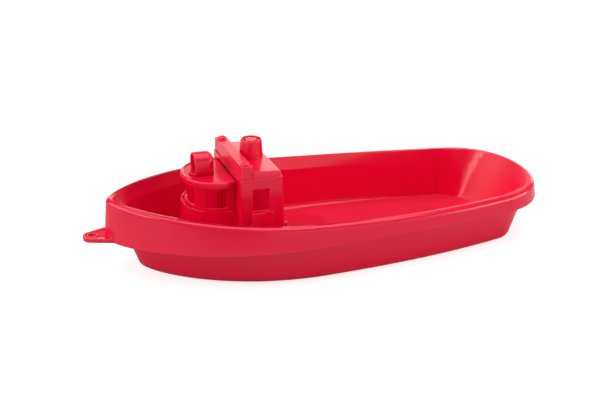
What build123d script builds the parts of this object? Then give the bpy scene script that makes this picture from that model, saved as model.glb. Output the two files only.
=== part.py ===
from build123d import *
import math
import os

# Toy tug boat in moulded plastic. Millimetres, +X to the bow, +Y to port, +Z up.
# The origin lies on the flat bottom, amidships on the centreline.

# Hull, in plan at the height of the rim
LENGTH = 409.0
BEAM = 168.0
STERN_WIDTH = 135.0  # where the sides end and the stern's curve starts
STERN_CURVE = 51.5  # length of that curve along X
WIDEST_AHEAD = 47.5  # of amidships
STERN_SIDE_SLOPE = 0.2
BOW_FULLNESS = 94.0  # length of the bow curve's handle along the side
BOW_ROUND = 19.6  # length of its handle across the stem
TRANSOM_FULLNESS = 42.0  # length of the stern curve's handle across the transom
CORNER_FULLNESS = 25.0  # length of its handle along the side

# Hull, in height
RIM_STERN, RIM_MIDDLE, RIM_BOW = 51.0, 53.3, 67.6
SKIRT_STERN, SKIRT_MIDDLE, SKIRT_BOW = 34.7, 36.7, 31.7
BOTTOM_INSET_BOW, BOTTOM_INSET_STERN, BOTTOM_INSET_SIDE = 26.8, 27.0, 11.8
BOTTOM_SHIFT = -14.6  # of the widest place, at the bottom
SKIRT_FLARE = 2.9
GUNWALE_WIDTH = 5.0
WALL = 2.0
FLOOR = 2.3
BILGE_RADIUS = 5.0
INNER_BILGE_RADIUS = 3.5
GUNWALE_ROUND = 2.6

# Tow eye, moulded on the stem
EYE_REACH = 21.2  # from the stem to the tip
EYE_RADIUS = 7.7
EYE_HOLE_RADIUS = 3.3
EYE_ROOT_HALF = 15.0
EYE_BOTTOM = 32.0
EYE_THICKNESS = 4.0
EYE_RIM = 1.7
EYE_RECESS = 0.8

# Deckhouse: a drafted box, open below
DECKHOUSE_SETBACK = 104.8  # from the stem to its front wall
DECKHOUSE_LENGTH = 37.7
DECKHOUSE_WIDTH = 80.4
DECKHOUSE_TOP = 86.0
DECKHOUSE_DRAFT_SIDE = 2.2
DECKHOUSE_DRAFT_AFT = 3.3
CORNER_RADIUS = 2.0
DOORWAY_HALF = 22.0
DOORWAY_TOP = 74.0
WINDOW_WIDTH = 14.3
WINDOW_BOTTOM, WINDOW_TOP = 57.2, 76.3
WINDOW_AFT = 12.5  # from the aft wall's top edge to the window
RIB_HEIGHT = 38.5
RIB_WIDTH = 2.4
RIB_DEPTH = 2.6
RIB_INSET = 1.0

# Half doors on the deckhouse's sides
DOOR_WIDTH = 20.5
DOOR_AFT = 8.2  # from the aft wall's top edge
DOOR_TOP = 55.5
DOOR_PROUD = 2.0
LATCH_WIDTH, LATCH_HEIGHT, LATCH_AFT = 5.0, 1.5, 3.4
PEG_RADIUS = 1.5
PEG_HEIGHTS = (20.0, 42.0)

# Deckhouse roof
ROOF_PLATE = 2.6
ROOF_SEAT = 1.0  # width of the step that carries the plate
SLAB_FRONT_HEIGHT, SLAB_AFT_HEIGHT = 6.3, 4.7
SLAB_INSET = 0.8
SLAB_TAPER = 1.2
SLAB_WALL = 2.0

# Light bar across the roof, with its two pins
BAR_WIDTH = 10.4
BAR_HEIGHT = 11.6
BAR_INSET = 1.0  # from the front wall and from each side
BAR_WALL = 2.0
BAR_ROUND = 0.8
PIN_INSET = 5.8  # from the bar's end to the pin
PIN_RADIUS = 2.0
PIN_TUBE = 1.2  # wall of the tube around each pin
PIN_HEAD_RADIUS = 4.0
PIN_HEAD_HEIGHT = 2.2
PIN_HEAD_ROUND = 2.0
PIN_DIMPLE_RADIUS = 1.2
PIN_DIMPLE_DEPTH = 1.2

# Funnel and its ribbed cap
FUNNEL_AFT = 15.5  # from the aft wall's top edge to the axis
FUNNEL_BASE_RADIUS, FUNNEL_TOP_RADIUS = 10.4, 9.3
FUNNEL_TOP = 107.4
FUNNEL_WALL = 1.6
SPIGOT_RADIUS = 7.0
SPIGOT_DEPTH = 4.0
CAP_DEPTH = 3.2
CAP_PLATE = 1.4
CAP_HUB_RADIUS = 5.2
CAP_RIBS = 6
CAP_RIB_WIDTH = 1.4
CAP_SINK = 0.4

# Wheelhouse: straight sides that end in a half round
WHEELHOUSE_STRAIGHT = 9.0
PARAPET_RADIUS = 31.0
PARAPET_DRAFT = 3.0
PARAPET_TOP = 56.0
LEDGE_DROP = 5.0  # from the parapet's top to the ledge that carries the window frame
FRAME_STEP = 3.5  # from the parapet's outer face in to the window frame's
VISOR_REACH = 3.5  # from the window frame out to the roof's edge
ROOF_TOP = 82.0
VISOR_BOTTOM = 76.0
VISOR_SLOPE = 1.0
ROOF_THICKNESS = 2.2
ROOF_ROUND = 1.6
PANE_BOTTOM, PANE_TOP = 57.4, 74.4
FRONT_PANE_HALF_ANGLE = 30.0
SIDE_PANE_START, SIDE_PANE_END = 55.0, 92.5

# Searchlight hood on the wheelhouse roof, open to the bow
HOOD_WIDTH = 18.5
HOOD_LENGTH = 17.2
HOOD_HEIGHT = 18.3
HOOD_AHEAD = 12.6  # from the deckhouse's front wall to the hood's back
HOOD_WALL = 1.8
HOOD_BACK_ROUND = 4.0
HOOD_LIP = 3.4
HOOD_LIP_THICKNESS = 1.0
HOOD_PEG_RADIUS = 2.0

# Plates on the floor
BASE_PLATE = 1.2
BASE_AFT = 69.5  # from the deckhouse's aft wall, at its top, to the plate's aft edge
BASE_WIDTH = 107.0
BASE_CORNER = 16.0
BASE_MARGIN = 6.0  # around the wheelhouse's foot
HATCH_PLATE = 1.0
HATCH_INSET = 3.2  # from the base plate's aft edge
HATCH_WIDTH = 67.0
HATCH_CORNER = 3.0
HATCH_GAP = 1.0  # behind the ribs

CLEARANCE = 0.1

# Places that follow from the sizes above
HALF = LENGTH / 2
REACH = HALF + 60.0
DEPTH = 120.0
TOP_PLANE = RIM_BOW + 3.2
SKIRT_PLANE = SKIRT_BOW - 2.7
FRONT_X = HALF - DECKHOUSE_SETBACK
AFT_X = FRONT_X - DECKHOUSE_LENGTH
HALF_WIDTH = DECKHOUSE_WIDTH / 2
DECK_Z = FLOOR + BASE_PLATE
ROUND_X = FRONT_X + WHEELHOUSE_STRAIGHT
FRAME_RADIUS = PARAPET_RADIUS - FRAME_STEP
ROOF_RADIUS = FRAME_RADIUS + VISOR_REACH
LEDGE_TOP = PARAPET_TOP - LEDGE_DROP
BAR_X = FRONT_X - BAR_INSET - BAR_WIDTH / 2
BAR_HALF = HALF_WIDTH - BAR_INSET
PIN_Y = BAR_HALF - PIN_INSET
FUNNEL_X = AFT_X + FUNNEL_AFT
HOOD_X = FRONT_X + HOOD_AHEAD
SLAB_FRONT_X = FRONT_X - BAR_INSET - BAR_WIDTH - CLEARANCE


def parabola(stern, middle, bow):
    """Height as a function of X, through the three stated heights."""
    slope = (bow - stern) / 2
    bend = (bow + stern) / 2 - middle
    return lambda x: middle + slope * x / HALF + bend * (x / HALF) ** 2


rim_height = parabola(RIM_STERN, RIM_MIDDLE, RIM_BOW)
skirt_height = parabola(SKIRT_STERN, SKIRT_MIDDLE, SKIRT_BOW)


def below(height, drop=0.0):
    """Block under a sheer line, wider than the hull."""
    x0, x1, step = -REACH, REACH, 0.01
    slope = (height(x0 + step) - height(x0)) / step
    middle = (x0 + x1) / 2
    points = [
        (x0, height(x0) - drop),
        (middle, height(x0) - drop + slope * (middle - x0)),
        (x1, height(x1) - drop),
    ]
    top = Bezier(*points)
    rest = Polyline(points[2], (x1, -DEPTH), (x0, -DEPTH), points[0])
    return extrude(Plane.XZ * make_face(top + rest), amount=BEAM, both=True)


def outline(z, bow, stern, side):
    """Hull's plan at height z, drawn inside the rim's plan by the stated insets."""
    tip = HALF - bow
    end = -HALF + stern
    half_beam = BEAM / 2 - side
    half_stern = STERN_WIDTH / 2 - side
    widest = WIDEST_AHEAD + BOTTOM_SHIFT * side / BOTTOM_INSET_SIDE
    bow_round = max(2.0, BOW_ROUND - side / 2)
    start = (-HALF + STERN_CURVE, half_stern)
    along = 0.35 * (widest - start[0])
    lean = math.hypot(1, STERN_SIDE_SLOPE)
    corner = CORNER_FULLNESS * (start[0] - end) / STERN_CURVE
    curves = [
        [
            (end, 0),
            (end, TRANSOM_FULLNESS - side / 2),
            (start[0] - corner / lean, half_stern - corner * STERN_SIDE_SLOPE / lean),
            start,
        ],
        [
            start,
            (start[0] + along / lean, half_stern + along * STERN_SIDE_SLOPE / lean),
            (widest - along, half_beam),
            (widest, half_beam),
        ],
        [(widest, half_beam), (widest + BOW_FULLNESS, half_beam), (tip, bow_round), (tip, 0)],
    ]
    port = [Bezier(*points) for points in curves]
    starboard = [Bezier(*[(x, -y) for x, y in reversed(points)]) for points in reversed(curves)]
    return Pos(0, 0, z) * make_face(Wire(port + starboard))


def between(z0, inset0, z1, inset1):
    """Straight-sided body between two hull plans."""
    return loft([outline(z0, *inset0), outline(z1, *inset1)], ruled=True)


def tub(thickness, z0):
    """Body of the hull below the gunwale, drawn in by a wall thickness, from z0 up."""
    gap = GUNWALE_WIDTH - WALL
    bottom = (BOTTOM_INSET_BOW, BOTTOM_INSET_STERN, BOTTOM_INSET_SIDE)
    rims = (RIM_BOW, RIM_STERN, RIM_MIDDLE)
    slopes = [(gap - inset) / rim for inset, rim in zip(bottom, rims)]

    def insets(z):
        return [inset + slope * z + thickness for inset, slope in zip(bottom, slopes)]

    return between(z0, insets(z0), TOP_PLANE, insets(TOP_PLANE))


def skirt(thickness):
    """Body of the turned-down skirt, drawn in by its thickness."""
    rims = (RIM_BOW, RIM_STERN, RIM_MIDDLE)
    hems = (SKIRT_BOW, SKIRT_STERN, SKIRT_MIDDLE)
    slopes = [SKIRT_FLARE / (rim - hem) for rim, hem in zip(rims, hems)]

    def insets(z):
        return [slope * (z - rim) + thickness for slope, rim in zip(slopes, rims)]

    return between(SKIRT_PLANE, insets(SKIRT_PLANE), TOP_PLANE, insets(TOP_PLANE))


def deckhouse_box(inset, z0, z1):
    """Deckhouse's drafted body, drawn in by a thickness, between two heights."""

    def section(z):
        drop = (DECKHOUSE_TOP - z) / (DECKHOUSE_TOP - DECK_Z)
        aft = AFT_X - DECKHOUSE_DRAFT_AFT * drop + inset
        half = HALF_WIDTH + DECKHOUSE_DRAFT_SIDE * drop - inset
        front = FRONT_X - inset
        size = (front - aft, 2 * half)
        shape = RectangleRounded(*size, CORNER_RADIUS - min(inset, CORNER_RADIUS - 0.3))
        return Pos((front + aft) / 2, 0, z) * shape

    return loft([section(z0), section(z1)], ruled=True)


def half_round(radius, z, back=0.0):
    """Plan of the wheelhouse: straight sides from the deckhouse to a half round."""
    start = FRONT_X + back
    sides = Pos((start + ROUND_X) / 2, 0) * Rectangle(ROUND_X - start, 2 * radius)
    behind = Pos(start - DEPTH / 2, 0) * Rectangle(DEPTH, DEPTH)
    return Pos(0, 0, z) * (sides + Pos(ROUND_X, 0) * Circle(radius) - behind)


def half_round_body(foot_radius, radius, z0, z1):
    """Solid on the wheelhouse's plan, just clear of the deckhouse."""
    foot = half_round(foot_radius, z0, CLEARANCE)
    return loft([foot, half_round(radius, z1, CLEARANCE)], ruled=True)


def half_round_wall(foot_radius, radius, z0, z1):
    """Wall on the wheelhouse's plan, between two heights."""
    outer = half_round_body(foot_radius, radius, z0, z1)
    return outer - half_round_body(foot_radius - WALL, radius - WALL, z0, z1)


def cabin_well(z0, z1):
    """Space under the deckhouse and wheelhouse, through the floor."""
    room = deckhouse_box(WALL + ROOF_SEAT, z0, z1)
    nose = extrude(half_round(FRAME_RADIUS - WALL, z0, -2 * (WALL + ROOF_SEAT)), z1 - z0)
    return room + nose


def tow_eye():
    """Eyelet on the stem, with a rim around a thinner web."""
    tip_x = HALF + EYE_REACH - EYE_RADIUS
    root_x = HALF - 2 * WALL

    def plan(inset):
        radius = EYE_RADIUS - inset
        half = EYE_ROOT_HALF - inset
        tip = (Pos(tip_x, 0) * Circle(radius)).edge()
        root = Edge.make_line((root_x, -half), (root_x, half))
        return make_hull([tip, root])

    plate = Pos(0, 0, EYE_BOTTOM) * extrude(plan(0), EYE_THICKNESS)
    recess = Pos(0, 0, EYE_BOTTOM + EYE_THICKNESS - EYE_RECESS) * extrude(plan(EYE_RIM), EYE_RECESS)
    boss = Pos(tip_x, 0, EYE_BOTTOM) * extrude(Circle(EYE_HOLE_RADIUS + EYE_RIM), EYE_THICKNESS)
    hole = Pos(tip_x, 0, EYE_BOTTOM) * extrude(Circle(EYE_HOLE_RADIUS), EYE_THICKNESS)
    return plate - recess + boss - hole


def along_rim(edge):
    """Whether an edge runs along the rim's height."""
    middle = edge @ 0.5
    return abs(middle.Z - rim_height(middle.X)) < 0.1


def hull():
    """Tub, gunwale, turned-down skirt and tow eye, in one moulding."""
    outer = fillet(tub(0.0, 0.0).edges().filter_by_position(Axis.Z, -0.01, 0.01), BILGE_RADIUS)
    room = tub(WALL, FLOOR)
    room = fillet(room.edges().filter_by_position(Axis.Z, FLOOR - 0.01, FLOOR + 0.01), INNER_BILGE_RADIUS)
    rail = skirt(0.0) & below(rim_height)
    rail = fillet([edge for edge in rail.edges() if along_rim(edge)], GUNWALE_ROUND)
    rail = rail - (skirt(WALL) & below(rim_height, WALL)) - below(skirt_height)
    shell = rail + (outer & below(rim_height)) - room
    shell = shell + (tow_eye() - skirt(WALL / 2))
    return shell - cabin_well(-1.0, DECK_Z)


def base_plate():
    """Thin plate on the floor under the cabin, with the cabin's well through it."""
    aft = AFT_X - BASE_AFT
    panel = RectangleRounded(2 * BASE_AFT, BASE_WIDTH, BASE_CORNER)
    sheet = Pos(aft + BASE_AFT, 0) * panel
    sheet += half_round(PARAPET_RADIUS + PARAPET_DRAFT + BASE_MARGIN, 0, -BASE_MARGIN)
    plate = Pos(0, 0, FLOOR) * extrude(sheet, BASE_PLATE)
    room = tub(WALL + INNER_BILGE_RADIUS, 0.0)
    return (plate & room) - cabin_well(0.0, 2 * DECK_Z)


def hatch_cover():
    """Flat cover on the base plate, behind the deckhouse."""
    aft = AFT_X - BASE_AFT + HATCH_INSET
    front = AFT_X - DECKHOUSE_DRAFT_AFT - RIB_DEPTH - HATCH_GAP
    panel = RectangleRounded(front - aft, HATCH_WIDTH, HATCH_CORNER)
    return Pos((front + aft) / 2, 0, DECK_Z) * extrude(panel, HATCH_PLATE)


def side_cut(side, x, width, z0, z1):
    """Rectangular block through one side wall of the deckhouse and the door on it."""
    deep = 2 * (DECKHOUSE_DRAFT_SIDE + WALL + DOOR_PROUD)
    return Pos(x, side * HALF_WIDTH, (z0 + z1) / 2) * Box(width, deep, z1 - z0)


def door_pegs(side, radius):
    """Two pegs behind a half door."""
    x = AFT_X + DOOR_AFT + DOOR_WIDTH / 2
    pegs = Sketch() + [Pos(x, z) * Circle(radius) for z in PEG_HEIGHTS]
    start = HALF_WIDTH - WALL + DECKHOUSE_DRAFT_SIDE / 2
    body = extrude(Plane.XZ.offset(-start) * pegs, -(WALL + DECKHOUSE_DRAFT_SIDE))
    return body if side > 0 else mirror(body, Plane.XZ)


def aft_ribs():
    """Upright ribs on the aft wall, near its corners."""
    ribs = Part()
    depth = RIB_DEPTH + DECKHOUSE_DRAFT_AFT
    x = AFT_X - DECKHOUSE_DRAFT_AFT - RIB_DEPTH + depth / 2
    for side in (1, -1):
        y = side * (HALF_WIDTH - RIB_INSET - RIB_WIDTH / 2)
        ribs += Pos(x, y, DECK_Z + RIB_HEIGHT / 2) * Box(depth, RIB_WIDTH, RIB_HEIGHT)
    return ribs - deckhouse_box(WALL / 2, DECK_Z, DECKHOUSE_TOP)


def deckhouse_walls():
    """Four drafted walls with side windows, a doorway forward and a seat for the roof."""
    seat_z = DECKHOUSE_TOP - ROOF_PLATE
    walls = deckhouse_box(0.0, DECK_Z, DECKHOUSE_TOP)
    walls += aft_ribs()
    walls -= deckhouse_box(WALL + ROOF_SEAT, DECK_Z, seat_z)
    walls -= deckhouse_box(ROOF_SEAT, seat_z, DECKHOUSE_TOP)
    window_x = AFT_X + WINDOW_AFT + WINDOW_WIDTH / 2
    for side in (1, -1):
        walls -= side_cut(side, window_x, WINDOW_WIDTH, WINDOW_BOTTOM, WINDOW_TOP)
        walls -= door_pegs(side, PEG_RADIUS + CLEARANCE)
    doorway = Box(4 * (WALL + ROOF_SEAT), 2 * DOORWAY_HALF, 2 * (DOORWAY_TOP - DECK_Z))
    return walls - Pos(FRONT_X, 0, DECK_Z) * doorway


def half_door(side):
    """Raised lower door on one side, with a latch on its ledge."""
    x = AFT_X + DOOR_AFT + DOOR_WIDTH / 2
    slab = deckhouse_box(-DOOR_PROUD, DECK_Z, DECKHOUSE_TOP) - deckhouse_box(0.0, DECK_Z, DECKHOUSE_TOP)
    door = slab & side_cut(side, x, DOOR_WIDTH, DECK_Z, DOOR_TOP)
    latch_x = AFT_X + DOOR_AFT + LATCH_AFT + LATCH_WIDTH / 2
    door += slab & side_cut(side, latch_x, LATCH_WIDTH, DECK_Z, DOOR_TOP + LATCH_HEIGHT)
    return door + (door_pegs(side, PEG_RADIUS) & deckhouse_box(-DOOR_PROUD / 2, DECK_Z, DECKHOUSE_TOP))


def bar_pin_holes(radius, z0, z1):
    """Upright cylinders on the two pins' axes."""
    spots = Sketch() + [Pos(BAR_X, y) * Circle(radius) for y in (-PIN_Y, PIN_Y)]
    return Pos(0, 0, z0) * extrude(spots, z1 - z0)


def deckhouse_roof():
    """Plate in the walls' seat, with a raised slab that falls towards the stern."""
    seat_z = DECKHOUSE_TOP - ROOF_PLATE
    plate = deckhouse_box(ROOF_SEAT + CLEARANCE, seat_z, DECKHOUSE_TOP)
    roof = plate + roof_slab(0.0, DECKHOUSE_TOP) - roof_slab(SLAB_WALL, seat_z)
    spigot_bore = Cylinder(SPIGOT_RADIUS + CLEARANCE, 4 * SLAB_FRONT_HEIGHT)
    roof -= Pos(FUNNEL_X, 0, DECKHOUSE_TOP + SLAB_FRONT_HEIGHT) * spigot_bore
    return roof - bar_pin_holes(PIN_RADIUS + CLEARANCE, seat_z - 1, DECKHOUSE_TOP + 1)


def slab_height(x):
    """Height of the slab's sloping top."""
    share = (x - AFT_X) / (SLAB_FRONT_X - AFT_X)
    return DECKHOUSE_TOP + SLAB_AFT_HEIGHT + (SLAB_FRONT_HEIGHT - SLAB_AFT_HEIGHT) * share


def under_slope(drop):
    """Everything a stated distance under the slab's sloping top."""
    x0, x1 = AFT_X - DEPTH, FRONT_X + DEPTH
    corners = [(x0, 0), (x0, slab_height(x0) - drop), (x1, slab_height(x1) - drop), (x1, 0)]
    side = Plane.XZ * make_face(Polyline(*corners, close=True))
    return extrude(side, BEAM, both=True)


def roof_slab(inset, bottom):
    """Raised slab from a stated height to the sloping top, drawn in on every side and on top."""
    front, aft = SLAB_FRONT_X - inset, AFT_X + SLAB_INSET + inset
    half = HALF_WIDTH - SLAB_INSET - inset
    tall = 2 * SLAB_FRONT_HEIGHT
    taper = SLAB_TAPER * tall / SLAB_FRONT_HEIGHT
    foot = Pos((front + aft) / 2, 0, bottom) * Rectangle(front - aft, 2 * half)
    crown_size = (front - aft - taper, 2 * (half - taper))
    crown = Pos((front + aft + taper) / 2, 0, DECKHOUSE_TOP + tall) * Rectangle(*crown_size)
    return loft([foot, crown], ruled=True) & under_slope(inset)


def light_bar():
    """Hollow bar across the roof, open below, with a tube around each pin."""
    middle_z = DECKHOUSE_TOP + BAR_HEIGHT / 2
    outer = Pos(BAR_X, 0, middle_z) * Box(BAR_WIDTH, 2 * BAR_HALF, BAR_HEIGHT)
    outer = fillet(outer.edges().group_by(Axis.Z)[-1], BAR_ROUND)
    inner_size = (BAR_WIDTH - 2 * BAR_WALL, 2 * (BAR_HALF - BAR_WALL), BAR_HEIGHT - BAR_WALL)
    bar = outer - Pos(BAR_X, 0, middle_z - BAR_WALL / 2) * Box(*inner_size)
    top = DECKHOUSE_TOP + BAR_HEIGHT
    bar += bar_pin_holes(PIN_RADIUS + CLEARANCE + PIN_TUBE, DECKHOUSE_TOP, top - BAR_WALL / 2) & outer
    return bar - bar_pin_holes(PIN_RADIUS + CLEARANCE, DECKHOUSE_TOP - 1, top + 1)


def bar_pins():
    """Two round-headed pins with a dimple, through the bar into the roof."""
    top = DECKHOUSE_TOP + BAR_HEIGHT
    pins = bar_pin_holes(PIN_RADIUS, DECKHOUSE_TOP - ROOF_PLATE, top)
    heads = bar_pin_holes(PIN_HEAD_RADIUS, top, top + PIN_HEAD_HEIGHT)
    heads = fillet(heads.edges().group_by(Axis.Z)[-1], min(PIN_HEAD_ROUND, 0.95 * PIN_HEAD_HEIGHT))
    crown = top + PIN_HEAD_HEIGHT
    return pins + heads - bar_pin_holes(PIN_DIMPLE_RADIUS, crown - PIN_DIMPLE_DEPTH, crown)


def funnel_part(radius, z0, z1):
    """Upright cylinder on the funnel's axis."""
    return Pos(FUNNEL_X, 0, z0) * extrude(Circle(radius), z1 - z0)


def funnel():
    """Tapered tube whose spigot stands in the roof."""
    foot, seat = slab_height(AFT_X), slab_height(FUNNEL_X)
    shelf = FUNNEL_TOP - CAP_DEPTH
    outer = Cone(FUNNEL_BASE_RADIUS, FUNNEL_TOP_RADIUS, FUNNEL_TOP - DECKHOUSE_TOP)
    tube = Pos(FUNNEL_X, 0, (FUNNEL_TOP + DECKHOUSE_TOP) / 2) * outer - under_slope(0.0)
    tube -= funnel_part(FUNNEL_TOP_RADIUS - FUNNEL_WALL, shelf, FUNNEL_TOP)
    tube = fillet(tube.edges().group_by(Axis.Z)[-1], FUNNEL_WALL / 3)
    tube += funnel_part(SPIGOT_RADIUS, seat - SPIGOT_DEPTH, seat + SPIGOT_DEPTH)
    return tube - funnel_part(SPIGOT_RADIUS - FUNNEL_WALL, foot - 2 * SPIGOT_DEPTH, FUNNEL_TOP)


def funnel_cap():
    """Disc in the funnel's mouth, with a hub and radial ribs."""
    shelf = FUNNEL_TOP - CAP_DEPTH
    rim = FUNNEL_TOP_RADIUS - FUNNEL_WALL - CLEARANCE
    high = CAP_DEPTH - CAP_SINK
    cap = extrude(Circle(rim), CAP_PLATE) + extrude(Circle(CAP_HUB_RADIUS), high)
    for turn in range(CAP_RIBS):
        rib = Pos(rim / 2, 0, high / 2) * Box(rim, CAP_RIB_WIDTH, high - CAP_SINK)
        cap += Rot(0, 0, 360 / CAP_RIBS * (turn + 0.5)) * rib & extrude(Circle(rim), high)
    return Pos(FUNNEL_X, 0, shelf) * cap


def parapet():
    """Lower wall of the wheelhouse, with a ledge inside that carries the window frame."""
    wall = half_round_wall(PARAPET_RADIUS + PARAPET_DRAFT, PARAPET_RADIUS, DECK_Z, PARAPET_TOP)
    ledge_plan = half_round(PARAPET_RADIUS - WALL / 2, 0, CLEARANCE)
    ledge_plan -= half_round(FRAME_RADIUS - WALL, 0, CLEARANCE)
    return wall + Pos(0, 0, LEDGE_TOP - WALL) * extrude(ledge_plan, WALL)


def pane(start, end, z0, z1):
    """Wedge that cuts one window through the curved frame."""
    reach = 2 * FRAME_RADIUS
    steps = max(2, math.ceil((end - start) / 30))
    angles = [math.radians(start + (end - start) * i / steps) for i in range(steps + 1)]
    points = [(0, 0)] + [(reach * math.cos(a), reach * math.sin(a)) for a in angles]
    return Pos(ROUND_X, 0, z0) * extrude(make_face(Polyline(*points, close=True)), z1 - z0)


def window_frame():
    """Curved band of the wheelhouse with three windows."""
    under_roof = ROOF_TOP - ROOF_THICKNESS
    frame = half_round_wall(FRAME_RADIUS, FRAME_RADIUS, LEDGE_TOP, under_roof)
    spans = [
        (-FRONT_PANE_HALF_ANGLE, FRONT_PANE_HALF_ANGLE),
        (SIDE_PANE_START, SIDE_PANE_END),
        (-SIDE_PANE_END, -SIDE_PANE_START),
    ]
    for start, end in spans:
        frame -= pane(start, end, PANE_BOTTOM, PANE_TOP)
    return frame


def wheelhouse_roof():
    """Roof with a deep rim, which is the visor over the windows."""
    under = ROOF_TOP - ROOF_THICKNESS
    body = half_round_body(ROOF_RADIUS, ROOF_RADIUS, VISOR_BOTTOM, ROOF_TOP)
    rounded = body.edges().group_by(Axis.Z)[-1].sort_by(Axis.X)[1:]
    body = fillet(rounded, ROOF_ROUND)
    room = FRAME_RADIUS + CLEARANCE
    body -= half_round_body(room, room, VISOR_BOTTOM, under)
    body -= half_round_body(ROOF_RADIUS, room, VISOR_BOTTOM, VISOR_BOTTOM + VISOR_SLOPE)
    bore = extrude(Circle(HOOD_PEG_RADIUS + CLEARANCE), ROOF_TOP)
    return body - Pos(HOOD_X + HOOD_LENGTH / 2, 0, 0) * bore


def arch(half, height, x0, x1):
    """Half-round arch along X, standing on the wheelhouse roof."""
    plan = Rectangle(2 * half, height - half, align=(Align.CENTER, Align.MIN))
    plan += Pos(0, height - half) * Circle(half)
    plan -= Pos(0, -DEPTH / 2) * Rectangle(DEPTH, DEPTH)
    return Pos(x0, 0, ROOF_TOP) * extrude(Plane.YZ * plan, x1 - x0)


def searchlight_hood():
    """Arched hood on the wheelhouse roof, closed behind and open to the bow."""
    half = HOOD_WIDTH / 2
    x0, x1 = HOOD_X, HOOD_X + HOOD_LENGTH
    outer = arch(half, HOOD_HEIGHT, x0, x1)
    outer = fillet(outer.edges().group_by(Axis.X)[0].sort_by(Axis.Z)[1:], HOOD_BACK_ROUND)
    inner = arch(half - HOOD_WALL, HOOD_HEIGHT - HOOD_WALL, x0 + HOOD_WALL + HOOD_BACK_ROUND / 2, x1)
    lip_plan = Pos(x1 - half + HOOD_LIP, 0) * Circle(half)
    start = x0 + HOOD_BACK_ROUND
    lip_plan += Pos((start + x1) / 2, 0) * Rectangle(x1 - start, 2 * half - HOOD_WALL)
    lip_plan -= Pos(start - DEPTH / 2, 0) * Rectangle(DEPTH, DEPTH)
    lip = Pos(0, 0, ROOF_TOP) * extrude(lip_plan, HOOD_LIP_THICKNESS)
    peg_plan = Pos((x0 + x1) / 2, 0, ROOF_TOP - ROOF_THICKNESS) * Circle(HOOD_PEG_RADIUS)
    return outer - inner + lip + extrude(peg_plan, ROOF_THICKNESS)


NODES = {
    "hull": hull,
    "base_plate": base_plate,
    "hatch_cover": hatch_cover,
    "deckhouse_walls": deckhouse_walls,
    "port_half_door": lambda: half_door(1),
    "starboard_half_door": lambda: half_door(-1),
    "deckhouse_roof": deckhouse_roof,
    "light_bar": light_bar,
    "bar_pins": bar_pins,
    "funnel": funnel,
    "funnel_cap": funnel_cap,
    "parapet": parapet,
    "window_frame": window_frame,
    "wheelhouse_roof": wheelhouse_roof,
    "searchlight_hood": searchlight_hood,
}

os.makedirs("parts", exist_ok=True)
for node, build in NODES.items():
    export_step(build(), f"parts/{node}.step")
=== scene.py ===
"""Looks of the red toy tug boat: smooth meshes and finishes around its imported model.

The boat's sizes are in millimetres, and those of the finishes and the studio in metres.
"""

import logging
import math
from dataclasses import dataclass
from enum import Enum
from typing import Any, Callable, Sequence

import bmesh
import bpy
from mathutils import Matrix, Vector


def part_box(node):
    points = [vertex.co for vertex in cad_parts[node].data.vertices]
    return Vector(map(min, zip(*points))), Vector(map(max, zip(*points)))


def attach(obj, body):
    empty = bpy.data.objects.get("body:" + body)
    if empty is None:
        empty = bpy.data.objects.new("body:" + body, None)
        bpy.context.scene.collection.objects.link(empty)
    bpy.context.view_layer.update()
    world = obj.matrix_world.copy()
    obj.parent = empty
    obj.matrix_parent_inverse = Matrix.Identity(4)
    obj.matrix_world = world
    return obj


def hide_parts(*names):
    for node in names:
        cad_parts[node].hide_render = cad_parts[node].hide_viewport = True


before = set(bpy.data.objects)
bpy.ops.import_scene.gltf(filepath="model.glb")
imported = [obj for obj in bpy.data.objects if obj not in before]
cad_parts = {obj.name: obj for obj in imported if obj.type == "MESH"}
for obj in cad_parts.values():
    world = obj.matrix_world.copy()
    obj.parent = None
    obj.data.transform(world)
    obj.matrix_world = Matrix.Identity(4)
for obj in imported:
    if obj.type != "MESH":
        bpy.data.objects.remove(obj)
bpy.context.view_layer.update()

log = logging.getLogger("toy_boat")

MM = 0.001
BODY = "root"
GAP = 0.1  # millimetres that a piece stands off its neighbour
TINY = 1e-6
NOISE_MEAN = 0.5
CHAMFER = 0.3  # where a rounding's middle point lies, as a share of its radius
SHARP = 32.0  # degrees that an edge turns by before it is rounded

Point = tuple[float, float]
Spot = tuple[float, float, float]
Colour = tuple[float, float, float, float]
Plan = list[Point]
Ring = list[Vector]
Insets = tuple[float, float, float]
Height = Callable[[float], float]


class Side(Enum):
    """Which side of the centreline a piece is on."""

    PORT = 1
    STARBOARD = -1


class Stretch(Enum):
    """A stretch of the hull's plan, from the transom forward."""

    TRANSOM = 0
    CORNER = 1
    SIDE = 2
    BOW = 3


class Edge(Enum):
    """How round a moulded edge is, as a radius in millimetres."""

    CRISP = 0.25
    SOFT = 0.5
    ROUND = 0.9


# Shader kit


class Signal:
    """A value socket that takes part in plain arithmetic."""

    def __init__(self, graph: "Graph", socket: bpy.types.NodeSocket) -> None:
        """Wraps a socket of a graph."""
        self.graph = graph
        self.socket = socket

    def __add__(self, other: "Signal | float") -> "Signal":
        """Adds a value."""
        return self.graph.math("ADD", self, other)

    __radd__ = __add__

    def __sub__(self, other: "Signal | float") -> "Signal":
        """Takes a value away."""
        return self.graph.math("SUBTRACT", self, other)

    def __mul__(self, other: "Signal | float") -> "Signal":
        """Multiplies by a value."""
        return self.graph.math("MULTIPLY", self, other)

    __rmul__ = __mul__

    def clamped(self) -> "Signal":
        """Held between nought and one."""
        return self.graph.math("ADD", self, 0.0, use_clamp=True)


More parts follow.
